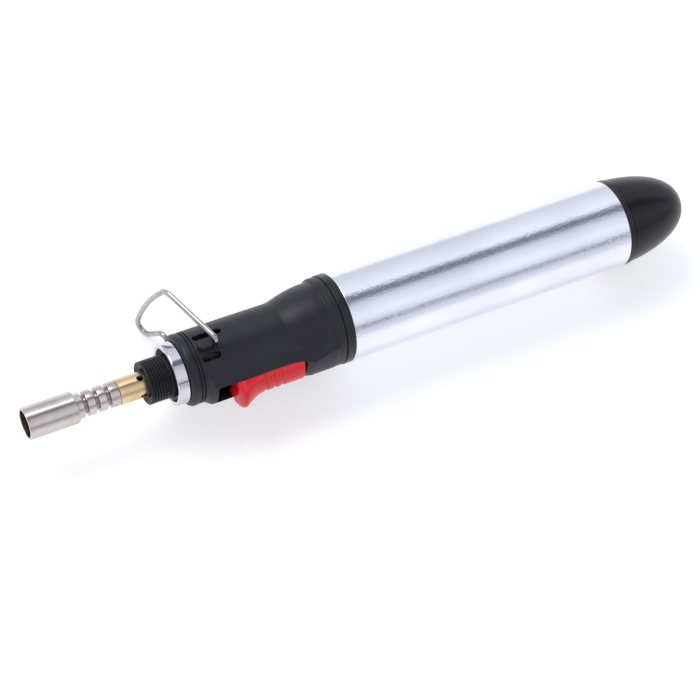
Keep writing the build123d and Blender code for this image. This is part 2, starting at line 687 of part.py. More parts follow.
def lever_pin():
    return rod_z(-PIN_HALF, PIN_HALF, PIN_R, LEVER_X, LEVER_Y)


# ---------------------------------------------------------------- wire stand

def wire_stand():
    """Bent wire loop whose two ends turn inwards into the pivot bores."""
    corners = [(0, LEG_END_Z), (0, LEG_Z), *LOOP_CORNERS, (0, -LEG_Z), (0, -LEG_END_Z)]
    lean = radians(STAND_ANGLE)
    loop = Plane(origin=(PIVOT_X, 0, 0), x_dir=(-cos(lean), sin(lean), 0),
                 z_dir=(sin(lean), cos(lean), 0))
    points = [loop.from_local_coords(Vector(along, across)) for along, across in corners]
    path = FilletPolyline(*points, radius=[LEG_BEND, *LOOP_BENDS, LEG_BEND])
    return sweep(Plane(origin=path @ 0, z_dir=path % 0) * Circle(WIRE_R), path)


# ---------------------------------------------------------------- gas path

def gas_tube():
    """Soft tube from the valve's outlet to the jet holder."""
    path = FilletPolyline(
        (HOLDER_END + 0.2, JET_Y, 0), (GAS_TUBE_STEP[0], JET_Y, 0),
        (GAS_TUBE_STEP[1], OUTLET_Y, 0), (VALVE_FRONT - 0.2, OUTLET_Y, 0), radius=GAS_TUBE_BEND)
    start = Plane(origin=path @ 0, z_dir=path % 0)
    outer = sweep(start * Circle(GAS_TUBE_R), path)
    return outer - sweep(start * Circle(NIPPLE_R), path)


def valve_body():
    """Brass valve screwed into the tank head, with its outlet nipple."""
    body = tube(VALVE_FRONT, VALVE_FLANGE_BACK, VALVE_FLANGE_R)
    body += tube(VALVE_FLANGE_BACK, VALVE_NECK_END, VALVE_NECK_R)
    body += tube(VALVE_NECK_END, VALVE_END, VALVE_R)
    body += rod_x(OUTLET_FRONT, VALVE_FRONT, NIPPLE_R, OUTLET_Y)
    body -= rod_x(OUTLET_BORE_FRONT, OUTLET_BORE_END, GAS_BORE_R, OUTLET_Y)
    body -= block(CROSS_PORT_FRONT, OUTLET_BORE_END, 0, OUTLET_Y, -PORT_R, PORT_R)
    body -= tube(AHEAD, CHAMBER_FRONT + 1, STEM_R + FIT)
    body -= tube(CHAMBER_FRONT, CHAMBER_END, CHAMBER_R)
    return body - tube(CHAMBER_END - 0.5, BEHIND, PORT_R)


def valve_stem():
    stem = tube(STEM_FRONT, STEM_HEAD_BACK, STEM_HEAD_R) + tube(STEM_FRONT, STEM_FLANGE_BACK, STEM_R)
    return stem + tube(STEM_FLANGE_FRONT, STEM_FLANGE_BACK, STEM_FLANGE_R)


def valve_spring():
    return coil(CHAMBER_FRONT, STEM_FLANGE_FRONT, 1.6, 0.2, 4)


def valve_seal():
    """Rubber pad on the stem that closes the way out of the tank."""
    return tube(STEM_FLANGE_BACK, SEAL_BACK, SEAL_R)


def flow_ring():
    """Flow regulator ring around the valve, with its tab outside the lower shell."""
    ring = tube(FLOW_RING_FRONT, FLOW_RING_BACK, FLOW_RING_R, VALVE_NECK_R + FIT)
    tab = block(FLOW_RING_FRONT + 0.4, FLOW_RING_BACK - 0.4, -FLOW_TAB_HALF, FLOW_TAB_HALF,
                -FLOW_TAB_R, -FLOW_RING_R + 0.5)
    return ring + tab


# ---------------------------------------------------------------- tank and barrel

def o_groove(centre):
    """Outline of an O-ring groove as a cutter around a plug."""
    return tube(centre - O_GROOVE_HALF, centre + O_GROOVE_HALF, PLUG_R + 1, O_GROOVE_R)


def o_ring(centre):
    section = Pos(centre, O_RING_R) * Circle(O_RING_SECTION)
    return revolve(section, Axis.X)


def tank_head():
    """Front plug of the tank, with the glossy band and the neck inside the housing."""
    head = tube(VALVE_NECK_END + 0.05, BAND_FRONT, NECK_R)
    head += lathe([
        (BAND_FRONT, 0), (BAND_FRONT, BAND_R - 0.25), (BAND_FRONT + 0.25, BAND_R),
        (BARREL_FRONT - 0.1, BAND_R), (BARREL_FRONT, BAND_R - 0.1), (BARREL_FRONT, 0),
    ])
    head += tube(BARREL_FRONT, HEAD_PLUG_END, PLUG_R)
    head -= o_groove(HEAD_O_RING_X)
    return head - tube(AHEAD, BEHIND, VALVE_R)


def fuel_tank():
    """Moulded reservoir tube between the two plugs."""
    return tube(BARREL_FRONT + 0.05, TANK_BACK, TANK_R, TANK_BORE_R)


def fuel_wick():
    """Felt wick that feeds liquid gas to the valve."""
    return tube(VALVE_END, WICK_END, WICK_R)


def barrel_sleeve():
    """Aluminium barrel over the reservoir."""
    return tube(BARREL_FRONT, BARREL_BACK, BARREL_R, BARREL_R - SLEEVE_WALL)


def tank_tail():
    """Rear plug of the tank, with the seat of the cap and the refill valve's bore."""
    tail = tube(TAIL_PLUG_FRONT, TAIL_FLANGE_FRONT, PLUG_R)
    tail += lathe([
        (TAIL_FLANGE_FRONT, 0), (TAIL_FLANGE_FRONT, TAIL_R), (TAIL_FLANGE_BACK - 0.2, TAIL_R),
        (TAIL_FLANGE_BACK, TAIL_R - 0.2), (TAIL_FLANGE_BACK, 0),
    ])
    tail += tube(TAIL_FLANGE_BACK, SEAT_END, SEAT_R)
    tail -= o_groove(TAIL_O_RING_X)
    return tail - tube(AHEAD, BEHIND, FILL_R)


# ---------------------------------------------------------------- refill valve and cap

def fill_valve_body():
    body = tube(FILL_FRONT, FILL_BODY_END, FILL_R)
    body += tube(FILL_BODY_END, FILL_NIPPLE_END, FILL_NIPPLE_R)
    body -= tube(*FILL_CHAMBER, FILL_CHAMBER_R)
    return body - tube(AHEAD, BEHIND, FILL_HOLE_R)


def fill_valve_stem():
    return tube(FILL_STEM_FRONT, FILL_STEM_END, FILL_STEM_R) + tube(*FILL_FLANGE, FILL_FLANGE_R)


def fill_valve_spring():
    return coil(FILL_CHAMBER[0], FILL_FLANGE[0], 1.4, 0.2, 5)


def fill_valve_seal():
    """Rubber ring that the spring holds against the rear of the refill chamber."""
    return tube(FILL_FLANGE[1], FILL_CHAMBER[1] - 0.05, FILL_FLANGE_R, FILL_STEM_R)


def dome(length, radius):
    """Blunt rounded end of a given length and base radius, behind CAP_CENTRE."""
    power_x, power_r = CAP_POWERS
    points = []
    for step in range(19):
        share = sin(radians(5 * step))
        points.append((CAP_CENTRE + length * share, radius * (1 - share ** power_x) ** (1 / power_r)))
    arc = Spline(*points, tangents=((1, 0), (0, -1)))
    base = Polyline(arc @ 1, (CAP_CENTRE, 0), arc @ 0)
    return revolve(make_face([*arc.edges(), *base.edges()]), Axis.X)


def tail_cap():
    """Rounded pull-off cap over the refill valve, hollow behind its seat."""
    cap = dome(CAP_LENGTH, CAP_R) & block(CAP_FRONT, BEHIND, -SKIN, SKIN, -SKIN, SKIN)
    hollow = dome(CAP_LENGTH - CAP_WALL, CAP_R - CAP_WALL)
    cap -= hollow & block(SEAT_END + 0.2, BEHIND, -SKIN, SKIN, -SKIN, SKIN)
    return cap - tube(AHEAD, SEAT_END + 0.3, SEAT_R + FIT)


PIECES = {
    "burner_nozzle": burner_nozzle,
    "flame_disc": flame_disc,
    "electrode_rod": electrode_rod,
    "electrode_insulator": electrode_insulator,
    "mixing_tube": mixing_tube,
    "jet_holder": jet_holder,
    "gas_jet": gas_jet,
    "jet_filter": jet_filter,
    "threaded_collar": threaded_collar,
    "retaining_ring": retaining_ring,
    "shell_upper": lambda: half_shell(1),
    "shell_lower": lambda: half_shell(-1),
    "housing_screws": housing_screws,
    "trigger": trigger,
    "piezo_body": piezo_body,
    "piezo_plunger": piezo_plunger,
    "piezo_spring": piezo_spring,
    "ignition_lead": ignition_lead,
    "valve_lever": valve_lever,
    "lever_pin": lever_pin,
    "wire_stand": wire_stand,
    "gas_tube": gas_tube,
    "valve_body": valve_body,
    "valve_stem": valve_stem,
    "valve_spring": valve_spring,
    "valve_seal": valve_seal,
    "flow_ring": flow_ring,
    "tank_head": tank_head,
    "head_o_ring": lambda: o_ring(HEAD_O_RING_X),
    "fuel_tank": fuel_tank,
    "fuel_wick": fuel_wick,
    "barrel_sleeve": barrel_sleeve,
    "tank_tail": tank_tail,
    "tail_o_ring": lambda: o_ring(TAIL_O_RING_X),
    "fill_valve_body": fill_valve_body,
    "fill_valve_stem": fill_valve_stem,
    "fill_valve_spring": fill_valve_spring,
    "fill_valve_seal": fill_valve_seal,
    "tail_cap": tail_cap,
}


def main():
    os.makedirs("parts", exist_ok=True)
    for name, make in PIECES.items():
        export_step(make(), f"parts/{name}.step")


main()
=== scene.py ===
import json
import math

import bmesh
import bpy
from mathutils import Matrix, Vector

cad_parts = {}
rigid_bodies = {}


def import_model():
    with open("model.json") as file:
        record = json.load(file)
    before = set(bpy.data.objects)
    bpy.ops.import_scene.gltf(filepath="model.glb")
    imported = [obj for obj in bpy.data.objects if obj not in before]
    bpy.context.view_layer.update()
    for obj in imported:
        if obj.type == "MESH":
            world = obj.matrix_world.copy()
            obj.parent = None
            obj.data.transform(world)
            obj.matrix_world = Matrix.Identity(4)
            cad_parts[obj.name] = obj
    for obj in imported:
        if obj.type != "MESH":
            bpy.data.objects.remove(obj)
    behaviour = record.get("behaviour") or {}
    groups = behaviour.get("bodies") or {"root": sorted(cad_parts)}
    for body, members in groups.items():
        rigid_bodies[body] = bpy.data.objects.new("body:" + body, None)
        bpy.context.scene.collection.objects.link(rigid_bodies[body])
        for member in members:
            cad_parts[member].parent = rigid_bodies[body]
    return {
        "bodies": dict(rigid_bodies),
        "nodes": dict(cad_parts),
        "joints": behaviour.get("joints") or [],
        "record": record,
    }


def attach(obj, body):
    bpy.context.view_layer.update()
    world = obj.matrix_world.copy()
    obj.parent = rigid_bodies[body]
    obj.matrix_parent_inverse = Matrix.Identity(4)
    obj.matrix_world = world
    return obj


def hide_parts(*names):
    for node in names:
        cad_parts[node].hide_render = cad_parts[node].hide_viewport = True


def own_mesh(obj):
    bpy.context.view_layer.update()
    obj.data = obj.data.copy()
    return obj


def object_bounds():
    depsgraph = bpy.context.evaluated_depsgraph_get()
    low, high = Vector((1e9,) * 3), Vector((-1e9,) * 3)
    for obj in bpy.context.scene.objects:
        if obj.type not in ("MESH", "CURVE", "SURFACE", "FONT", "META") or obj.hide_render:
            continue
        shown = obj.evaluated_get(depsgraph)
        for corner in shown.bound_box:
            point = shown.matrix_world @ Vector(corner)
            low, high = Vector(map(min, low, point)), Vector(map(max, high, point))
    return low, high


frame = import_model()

cad_low, cad_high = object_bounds()
MM = 0.001

# ------------------------------------------------------------------ camera and studio

# Camera that shows the object as the photograph does, in metres.
CAMERA_PLACE = Vector((-0.12462, -0.23003, 0.54376))
CAMERA_AIM = Vector((0.08925, -0.01033, 0.0))
CAMERA_UP = Vector((0.31034, 0.83275, 0.45851))
LENS_MM = 119.5
SENSOR_MM = 36.0
CLIP_NEAR = 0.01
CLIP_FAR = 20.0
FLOOR_GAP = 0.0002
FLOOR_HALF = 3.0


def camera():
    """Camera at the photograph's viewing angle."""
    data = bpy.data.cameras.new("camera")
    data.lens = LENS_MM
    data.sensor_width = SENSOR_MM
    data.clip_start = CLIP_NEAR
    data.clip_end = CLIP_FAR
    obj = bpy.data.objects.new("camera", data)
    bpy.context.scene.collection.objects.link(obj)
    back = (CAMERA_PLACE - CAMERA_AIM).normalized()
    right = CAMERA_UP.cross(back).normalized()
    up = back.cross(right)
    turn = Matrix((right, up, back)).transposed().to_4x4()
    obj.matrix_world = Matrix.Translation(CAMERA_PLACE) @ turn
    bpy.context.scene.camera = obj


class Graph:
    """A node tree with short calls for adding and linking nodes."""

    def __init__(self, tree):
        self.tree = tree
        tree.nodes.clear()

    def node(self, kind, values=None, **settings):
        made = self.tree.nodes.new(kind)
        for key, value in settings.items():
            setattr(made, key, value)
        for key, value in (values or {}).items():
            made.inputs[key].default_value = value
        return made

    def link(self, source, socket, target, target_socket):
        self.tree.links.new(source.outputs[socket], target.inputs[target_socket])

    def math(self, operation, *terms):
        """Math node; each term is a number or a (node, socket) pair."""
        made = self.node("ShaderNodeMath", operation=operation)
        for index, term in enumerate(terms):
            if isinstance(term, tuple):
                self.link(*term, made, index)
            else:
                made.inputs[index].default_value = term
        return made

    def fade(self, source, socket, start, end, first, last):
        """Value that goes from first to last as the source goes from start to end."""
        made = self.node("ShaderNodeMapRange", {
            "From Min": start, "From Max": end, "To Min": first, "To Max": last})
        self.link(source, socket, made, "Value")
        return made

    def ramp(self, source, socket, stops):
        """Colour ramp over (place, colour) stops."""
        made = self.node("ShaderNodeValToRGB")
        elements = made.color_ramp.elements
        while len(elements) < len(stops):
            elements.new(0.5)
        for element, (place, colour) in zip(elements, stops):
            element.position = place
            element.color = (*colour, 1.0)
        self.link(source, socket, made, "Fac")
        return made


# Brightness of the light tent by direction round the tool's axis, in degrees from the
# camera's side, positive towards the trigger side.
TENT = [
    (-180, 0.62), (-125, 0.80), (-98, 0.84), (-70, 0.98), (-44, 1.10), (-38, 0.29),
    (-24, 0.25), (-18, 0.72), (0, 0.95), (20, 1.10), (40, 0.84), (42.5, 0.24), (45.5, 0.24),
    (48, 0.72), (62, 0.88), (90, 0.88), (125, 0.76), (180, 0.62),
]
TENT_CENTRE = math.atan2(CAMERA_PLACE.z, CAMERA_PLACE.y)
# Red, green and blue of the tent: factor and power of the brightness.
TENT_TINT = ((0.97, 1.12), (0.975, 1.08), (1.04, 0.9))


def tent_colour(light):
    """Colour of the tent at a brightness, bluer where it is darker."""
    return tuple(factor * light ** power for factor, power in TENT_TINT)


def world():
    """Soft light tent: bright panels with narrow gaps between them."""
    made = bpy.data.worlds.new("tent")
    bpy.context.scene.world = made
    made.use_nodes = True
    graph = Graph(made.node_tree)
    coords = graph.node("ShaderNodeTexCoord")
    turned = graph.node("ShaderNodeMapping", {"Rotation": (math.pi / 2 - TENT_CENTRE, 0, 0)})
    graph.link(coords, "Generated", turned, "Vector")
    parts = graph.node("ShaderNodeSeparateXYZ")
    graph.link(turned, "Vector", parts, "Vector")
    flip = graph.math("MULTIPLY", (parts, "Y"), -1.0)
    angle = graph.math("ARCTAN2", (flip, "Value"), (parts, "Z"))
    scaled = graph.fade(angle, "Value", -math.pi, math.pi, 0.0, 1.0)
    stops = [(degrees / 360 + 0.5, tent_colour(light)) for degrees, light in TENT]
    ramp = graph.ramp(scaled, "Result", stops)
    back = graph.node("ShaderNodeBackground", {"Strength": 1.0})
    graph.link(ramp, "Color", back, "Color")
    out = graph.node("ShaderNodeOutputWorld")
    graph.link(back, "Background", out, "Surface")


def area_light(name, place, aim, size, power):
    """Soft rectangular light that looks at a point."""
    data = bpy.data.lights.new(name, "AREA")
    data.shape = "RECTANGLE"
    data.size, data.size_y = size
    data.energy = power
    obj = bpy.data.objects.new(name, data)
    bpy.context.scene.collection.objects.link(obj)
    obj.location = place
    obj.rotation_mode = "QUATERNION"
    obj.rotation_quaternion = (Vector(place) - Vector(aim)).to_track_quat("Z", "Y")


def floor():
    """Plain pale floor under the object."""
    mesh = bpy.data.meshes.new("floor")
    level = cad_low.z - FLOOR_GAP
    sides = [(-1, -1), (1, -1), (1, 1), (-1, 1)]
    corners = [(FLOOR_HALF * x, FLOOR_HALF * y, level) for x, y in sides]
    mesh.from_pydata(corners, [], [(0, 1, 2, 3)])
    obj = bpy.data.objects.new("floor", mesh)
    bpy.context.scene.collection.objects.link(obj)
    mesh.materials.append(MATERIALS["floor"])


# ------------------------------------------------------------------ materials

def shader(name, **values):
    """A new Principled material; values set the shader's own sockets."""
    made = bpy.data.materials.new(name)
    made.use_nodes = True
    graph = Graph(made.node_tree)
    surface = graph.node("ShaderNodeBsdfPrincipled")
    for key, value in values.items():
        surface.inputs[key.replace("_", " ")].default_value = value
    out = graph.node("ShaderNodeOutputMaterial")
    graph.link(surface, "BSDF", out, "Surface")
    coords = graph.node("ShaderNodeTexCoord")
    return made, graph, surface, coords


def noise(graph, coords, scale, detail=2.0, roughness=0.5, stretch=(1, 1, 1)):
    """Noise in object space; scale is in features per metre."""
    mapping = graph.node("ShaderNodeMapping", {"Scale": stretch})
    graph.link(coords, "Object", mapping, "Vector")
    made = graph.node(
        "ShaderNodeTexNoise", {"Scale": scale, "Detail": detail, "Roughness": roughness})
    graph.link(mapping, "Vector", made, "Vector")
    return made


def vary_colour(graph, surface, source, dark, light):
    """Base colour between two tones, spread over the middle of the noise."""
    ramp = graph.ramp(source, "Fac", [(0.35, dark), (0.65, light)])
    graph.link(ramp, "Color", surface, "Base Color")


def vary_roughness(graph, surface, source, low, high):
    """Roughness between two values, following the noise."""
    graph.link(graph.fade(source, "Fac", 0.0, 1.0, low, high), "Result", surface, "Roughness")


def bump(graph, surface, *layers):
    """Stacks bump layers of (noise node, strength, depth in metres)."""
    last = None
    for source, strength, depth in layers:
        made = graph.node("ShaderNodeBump", {"Strength": strength, "Distance": depth})
        graph.link(source, "Fac", made, "Height")
        if last:
            graph.link(last, "Normal", made, "Normal")
        last = made
    graph.link(last, "Normal", surface, "Normal")


# The barrel's surface: its two tones, then grain and ripple in features per metre.
BARREL_TONES = ((0.76, 0.78, 0.86), (0.82, 0.84, 0.91))
BARREL_GRAIN = 2300
BARREL_RIPPLE = 520


def barrel_aluminium():
    """Bright anodised tube with an orange-peel surface and a few handling marks."""
    made, graph, surface, coords = shader("barrel_aluminium", Metallic=1.0)
    patches = noise(graph, coords, 60)
    vary_colour(graph, surface, patches, *BARREL_TONES)
    grain = noise(graph, coords, BARREL_GRAIN, 1.0)
    ripple = noise(graph, coords, BARREL_RIPPLE, 2.0)
    vary_roughness(graph, surface, grain, 0.09, 0.16)
    bump(graph, surface, (grain, 0.6, 0.00008), (ripple, 0.04, 0.00006))
    return made


def axis_distance(graph, coords):
    """Distance from the tool's axis, in metres."""
    across = graph.node("ShaderNodeMapping", {"Scale": (0, 1, 1)})
    graph.link(coords, "Object", across, "Vector")
    radius = graph.node("ShaderNodeVectorMath", operation="LENGTH")
    graph.link(across, "Vector", radius, 0)
    return radius


def base_colour(surface):
    """Socket that feeds the shader's base colour."""
    return surface.inputs["Base Color"].links[0].from_socket


# Heat stain in the burner cup: where it fades out by radius and by distance from the mouth.
STAIN_RADII = (0.0038, 0.0039)
STAIN_DEPTHS = (0.006, 0.0085)
STAIN_COLOUR = (0.52, 0.41, 0.34, 1.0)
# Painted shade in the grooves: radii in metres, and the brightness at each.
PAINTED_SHADE_RADII = (0.0024, 0.0034)
PAINTED_SHADE_LEVELS = (0.45, 1.0)


def stain_bore(graph, surface, coords):
    """Brown heat stain on the wall of the burner cup's bore."""
    inside = graph.fade(axis_distance(graph, coords), "Value", *STAIN_RADII, 1.0, 0.0)
    place = graph.node("ShaderNodeSeparateXYZ")
    graph.link(coords, "Object", place, "Vector")
    front = graph.fade(place, "X", *STAIN_DEPTHS, 1.0, 0.0)
    stained = graph.math("MULTIPLY", (inside, "Result"), (front, "Result"))
    mix = graph.node("ShaderNodeMixRGB", {"Color2": STAIN_COLOUR})
    graph.link(stained, "Value", mix, "Fac")
    graph.tree.links.new(base_colour(surface), mix.inputs["Color1"])
    graph.link(mix, "Color", surface, "Base Color")


def paint_groove_shade(graph, surface, coords):
    """Painted shade near the axis: the colour falls off below the outer turned surfaces, darkening the
    grooves.
    """
    shade = graph.fade(axis_distance(graph, coords), "Value", *PAINTED_SHADE_RADII, *PAINTED_SHADE_LEVELS)
    mix = graph.node("ShaderNodeVectorMath", operation="SCALE")
    graph.tree.links.new(base_colour(surface), mix.inputs[0])
    graph.link(shade, "Result", mix, "Scale")
    graph.link(mix, "Vector", surface, "Base Color")


def turned_metal(name, dark, light, roughness):
    """Lathe-turned metal with fine rings around the tool's axis."""
    made, graph, surface, coords = shader(name, Metallic=1.0)
    rings = noise(graph, coords, 2600, 3.0, 0.6, (1, 0.02, 0.02))
    patches = noise(graph, coords, 160, 2.0)
    vary_colour(graph, surface, patches, dark, light)
    # painted shade in the grooves of the turned parts
    paint_groove_shade(graph, surface, coords)
    stain_bore(graph, surface, coords)
    vary_roughness(graph, surface, rings, roughness, roughness + 0.1)
    bump(graph, surface, (rings, 0.07, 0.00001), (patches, 0.03, 0.00004))
    return made


def plain_metal(name, dark, light, roughness, scale):
    """Bare metal with fine marks."""
    made, graph, surface, coords = shader(name, Metallic=1.0)
    marks = noise(graph, coords, scale, 3.0, 0.6)
    vary_colour(graph, surface, marks, dark, light)
    vary_roughness(graph, surface, marks, roughness, roughness + 0.08)
    bump(graph, surface, (marks, 0.04, 0.00002))
    return made


def moulded(name, dark, light, roughness, grain_depth, shine):
    """Moulded plastic: fine grain, faint flow marks and handling smudges."""
    made, graph, surface, coords = shader(name, Specular_IOR_Level=shine)
    flow = noise(graph, coords, 140, 4.0, 0.55, (0.5, 1, 1))
    grain = noise(graph, coords, 4200, 2.0)
    vary_colour(graph, surface, flow, dark, light)
    vary_roughness(graph, surface, flow, roughness - 0.05, roughness + 0.08)
    bump(graph, surface, (grain, 0.3, grain_depth), (flow, 0.05, 0.0003))
    return made


# Turned metals: dark and light tone, roughness.
TURNED = {
    "stainless": ((0.50, 0.455, 0.42), (0.58, 0.535, 0.495), 0.17),
    "brass": ((0.66, 0.49, 0.28), (0.78, 0.60, 0.37), 0.2),
}
# Plain metals: dark and light tone, roughness, marks per metre.
PLAIN = {
    # brass_dark: toned almost to black, as painted shade for the inner parts seen through the vents
    "brass_dark": ((0.05, 0.04, 0.03), (0.14, 0.11, 0.08), 0.45, 900),
    "steel": ((0.50, 0.50, 0.52), (0.66, 0.66, 0.68), 0.25, 900),
    "wire_steel": ((0.36, 0.36, 0.36), (0.46, 0.46, 0.46), 0.22, 300),
    "chrome": ((0.56, 0.55, 0.59), (0.66, 0.65, 0.69), 0.06, 2500),
}
# Plastics, rubber, felt and ceramic: dark and light tone, roughness, grain in metres, shine.
MOULDED = {
    "collar_black": ((0.008, 0.008, 0.010), (0.014, 0.014, 0.017), 0.45, 1e-5, 0.3),
    "housing_black": ((0.008, 0.0075, 0.012), (0.013, 0.0125, 0.020), 0.41, 2e-5, 0.32),
    "band_black": ((0.008, 0.008, 0.010), (0.013, 0.013, 0.017), 0.3, 1e-5, 0.32),
    "cap_gloss": ((0.003, 0.002, 0.005), (0.006, 0.005, 0.009), 0.26, 2e-6, 0.3),
    "trigger_red": ((0.56, 0.006, 0.010), (0.68, 0.010, 0.016), 0.24, 1e-5, 0.5),
    # igniter_plastic: near black, as painted shade for the opening of the trigger slot
    "igniter_plastic": ((0.035, 0.035, 0.04), (0.055, 0.055, 0.06), 0.4, 1e-5, 0.4),
    "lead_rubber": ((0.20, 0.02, 0.02), (0.30, 0.03, 0.03), 0.5, 2e-5, 0.4),
    # clear_tube: far darker than a clear tube, as painted shade for the inside seen through the vents
    "clear_tube": ((0.10, 0.095, 0.08), (0.16, 0.15, 0.13), 0.3, 1e-5, 0.5),
    "seal_rubber": ((0.012, 0.012, 0.012), (0.025, 0.025, 0.025), 0.6, 3e-5, 0.3),
    "tank_plastic": ((0.55, 0.56, 0.56), (0.66, 0.67, 0.67), 0.35, 1e-5, 0.5),
    "wick_felt": ((0.60, 0.57, 0.50), (0.80, 0.77, 0.70), 0.9, 2e-4, 0.2),
    "ceramic_white": ((0.70, 0.68, 0.64), (0.82, 0.80, 0.77), 0.25, 1e-5, 0.5),
}


PAPER_TONES = ((0.64, 0.64, 0.645), (0.66, 0.66, 0.665))
PAPER_GLOW = 0.46


def floor_paper():
    """Pale seamless paper that glows a little, so shadows stay soft."""
    made, graph, surface, coords = shader("floor", Roughness=0.7)
    tone = noise(graph, coords, 3)
    vary_colour(graph, surface, tone, *PAPER_TONES)
    surface.inputs["Emission Color"].default_value = (1.0, 1.0, 1.0, 1.0)
    surface.inputs["Emission Strength"].default_value = PAPER_GLOW
    return made


def make_materials():
    """Every material of the scene, by name."""
    made = {"barrel_aluminium": barrel_aluminium(), "floor": floor_paper()}
    for name, values in TURNED.items():
        made[name] = turned_metal(name, *values)
    for name, values in PLAIN.items():
        made[name] = plain_metal(name, *values)
    for name, values in MOULDED.items():
        made[name] = moulded(name, *values)
    return made


MATERIALS = make_materials()


CAD_SHARP_DEGREES = 30


def dress_cad_nodes():
    """Gives every carried-over CAD node the material of its slot."""
    for row in frame["record"]["subparts"]:
        mesh = frame["nodes"][row["node"]].data
        mesh.materials.clear()
        mesh.materials.append(MATERIALS[row["material_slot"]])
        mesh.shade_smooth()
        mesh.set_sharp_from_angle(angle=math.radians(CAD_SHARP_DEGREES))


# ------------------------------------------------------------------ mesh helpers

SEGMENTS = 144
FINE_SEGMENTS = 192
ROUND_STEPS = 5
WELD_MM = 1e-6


def add_piece(name, bm, body, slot, nodes, sharp_degrees=50):
    """Turns a bmesh in millimetres into a piece that stands for CAD nodes."""
    bmesh.ops.scale(bm, vec=(MM, MM, MM), verts=bm.verts)
    bmesh.ops.recalc_face_normals(bm, faces=bm.faces)
    mesh = bpy.data.meshes.new(name)
    bm.to_mesh(mesh)
    bm.free()
    obj = bpy.data.objects.new(name, mesh)
    bpy.context.scene.collection.objects.link(obj)
    mesh.materials.append(MATERIALS[slot])
    mesh.shade_smooth()
    mesh.set_sharp_from_angle(angle=math.radians(sharp_degrees))
    weighted = obj.modifiers.new("weighted normals", "WEIGHTED_NORMAL")
    weighted.keep_sharp = True
    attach(obj, body)
    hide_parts(*nodes)
    return obj


def rounded(corners, closed=True, steps=ROUND_STEPS):
    """Rounds the corners (x, y, radius) of an outline and returns its points."""
    points = []
    count = len(corners)
    for index, (x, y, radius) in enumerate(corners):
        here = Vector((x, y))
        if radius == 0 or (not closed and index in (0, count - 1)):
            points.append(here)
            continue
        before = (Vector(corners[index - 1][:2]) - here).normalized()
        after = (Vector(corners[(index + 1) % count][:2]) - here).normalized()
        half = before.angle(after) / 2
        reach = radius / math.tan(half)
        start = here + before * reach
        end = here + after * reach
        centre = here + (before + after).normalized() * radius / math.sin(half)
        turn = (start - centre).angle_signed(end - centre)
        for step in range(steps + 1):
            spin = Matrix.Rotation(-turn * step / steps, 2)
            points.append(centre + spin @ (start - centre))
    return points


def lathe(outline, radius_at=None, segments=SEGMENTS):
    """Turns a closed outline of (x, radius) points; radius_at may vary it with the angle."""
    bm = bmesh.new()
    rings = []
    for x, radius in outline:
        ring = []
        for index in range(segments):
            angle = 2 * math.pi * index / segments
            r = radius_at(x, radius, angle) if radius_at else radius
            ring.append(bm.verts.new((x, r * math.cos(angle), r * math.sin(angle))))
        rings.append(ring)
    for near, far in zip(rings, rings[1:] + rings[:1]):
        for index in range(segments):
            after = (index + 1) % segments
            bm.faces.new((near[index], near[after], far[after], far[index]))
    bmesh.ops.remove_doubles(bm, verts=bm.verts, dist=WELD_MM)
    return bm


# ------------------------------------------------------------------ turned pieces

def burner_nozzle():
    """Cup, ringed neck and spigot with softened edges."""
    outline = [(0, 3.75, 0.08), (6.5, 3.75, 0), (6.5, 3.35, 0), (8.0, 3.35, 0), (8.0, 3.05, 0)]
    outline += [(12.0, 3.05, 0), (13.0, 1.9, 0), (29.0, 1.9, 0), (29.0, 2.6, 0.1)]
    outline += [(25.6, 2.6, 0), (25.6, 3.45, 0.18)]
    for start in (23.0, 19.8, 16.6):
        outline += [(start, 3.45, 0.16), (start, 2.45, 0.1), (start - 1.1, 2.45, 0.1)]
        outline += [(start - 1.1, 3.45, 0.16)]
    outline += [(13.9, 3.45, 0.1), (13.9, 4.40, 0.55), (0, 4.40, 0.1)]
    add_piece("burner_cup_and_neck", lathe(rounded(outline)), "torch", "stainless", ["burner_nozzle"])


# Thread of the collar, in millimetres; the cut's half width is in pitches.
THREAD_PITCH = 0.8
THREAD_R = 5.95
THREAD_ROOT_R = 5.42
THREAD_START = 33.35
THREAD_END = 39.2
THREAD_CUT = 0.36
THREAD_ROOT_FLAT = 1.35
THREAD_RUN_OUT = 0.25
THREAD_STEP = 0.08
COLLAR_INSIDE_R = 5.0  # anything nearer the axis is the collar's bore


def thread_radius(x, radius, angle):
    """Radius of the collar's surface at a place: cut by the helix, plain elsewhere."""
    if not THREAD_START < x < THREAD_END or radius < COLLAR_INSIDE_R:
        return radius
    phase = ((x - THREAD_START) / THREAD_PITCH - angle / (2 * math.pi)) % 1.0
    cut = max(0.0, 1.0 - abs(phase - 0.5) / THREAD_CUT)
    fade = min(1.0, (x - THREAD_START) / THREAD_RUN_OUT, (THREAD_END - x) / THREAD_RUN_OUT)
    return THREAD_R - (THREAD_R - THREAD_ROOT_R) * min(1.0, THREAD_ROOT_FLAT * cut) * fade


def threaded_collar():
    """Collar with a true helical thread."""
    length = THREAD_END - THREAD_START
    steps = int(length / THREAD_STEP)
    outline = rounded([
        (33.0, 3.95, 0.12), (45.0, 3.95, 0), (45.0, 4.65, 0), (48.15, 4.65, 0),
        (48.15, 7.4, 0), (46.45, 7.4, 0), (46.45, THREAD_R, 0), (39.4, THREAD_R, 0)])
    outline += [(THREAD_END - length * i / steps, THREAD_R) for i in range(steps + 1)]
    outline += [(33.15, THREAD_R), (33.0, 5.78)]
    add_piece("threaded_collar_body", lathe(outline, thread_radius), "torch", "collar_black",
              ["threaded_collar"])


def retaining_ring():
    """Ring with a rounded front edge."""
    ring = [(39.7, 7.65, 0.05), (39.95, 7.4, 0.1), (42.9, 7.4, 0), (42.9, 8.55, 0.12),
            (39.7, 8.55, 0.42)]
    add_piece("chrome_ring", lathe(rounded(ring), segments=FINE_SEGMENTS), "torch", "chrome",
              ["retaining_ring"])


